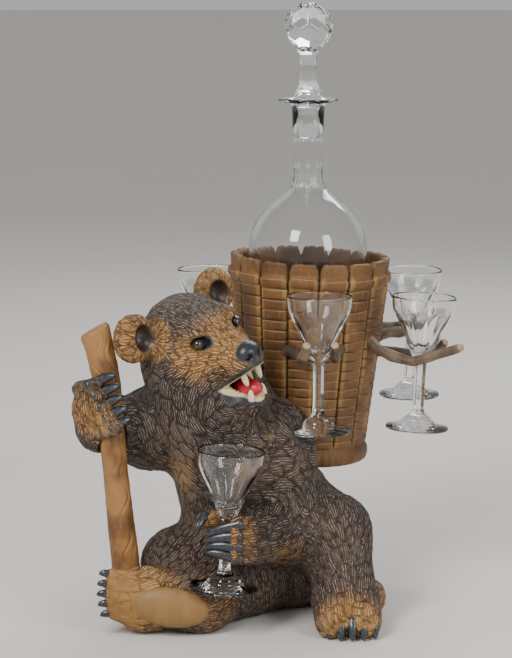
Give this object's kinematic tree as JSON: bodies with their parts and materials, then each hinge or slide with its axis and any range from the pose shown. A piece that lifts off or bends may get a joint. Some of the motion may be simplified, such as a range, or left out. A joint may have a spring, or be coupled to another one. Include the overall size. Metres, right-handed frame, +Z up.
{
  "type": "carved bear decanter stand",
  "caption": "Seated carved wooden bear holding a staff and a liqueur glass, with a wicker-carved basket on its back for a glass decanter and twig prongs around it for more glasses.",
  "frame": {"origin": "on the ground under the bear, in the front half of its flat seat", "axes": "+X to the viewer's right, +Y away from the viewer who faces the bear, +Z up"},
  "size_m": [0.3125, 0.3206, 0.4886],
  "materials": {
    "bear_wood": "stained lime wood, dark umber fur with pale golden paws and face, satin",
    "staff_wood": "honey brown carved bark, satin",
    "basket_wood": "mid brown carved wicker, satin",
    "twig_wood": "grey brown carved bark, satin",
    "eye_glass": "black glass bead, glossy",
    "clear_glass": "clear blown and cut glass, polished"
  },
  "bodies": {
    "root": {"bear": "bear_wood", "eye_left": "eye_glass", "eye_right": "eye_glass", "staff": "staff_wood", "basket": "basket_wood", "twig_front_left": "twig_wood", "twig_front_right": "twig_wood", "twig_right_front_near": "twig_wood", "twig_right_front_far": "twig_wood", "twig_right_back_near": "twig_wood", "twig_right_back_far": "twig_wood", "twig_back_left": "twig_wood", "twig_back_right": "twig_wood", "twig_left_back_near": "twig_wood", "twig_left_back_far": "twig_wood", "decanter": "clear_glass", "stopper": "clear_glass", "glass_paw": "clear_glass", "glass_front": "clear_glass", "glass_right_front": "clear_glass", "glass_right_back": "clear_glass", "glass_back": "clear_glass", "glass_left_back": "clear_glass"}
  },
  "joints": []
}
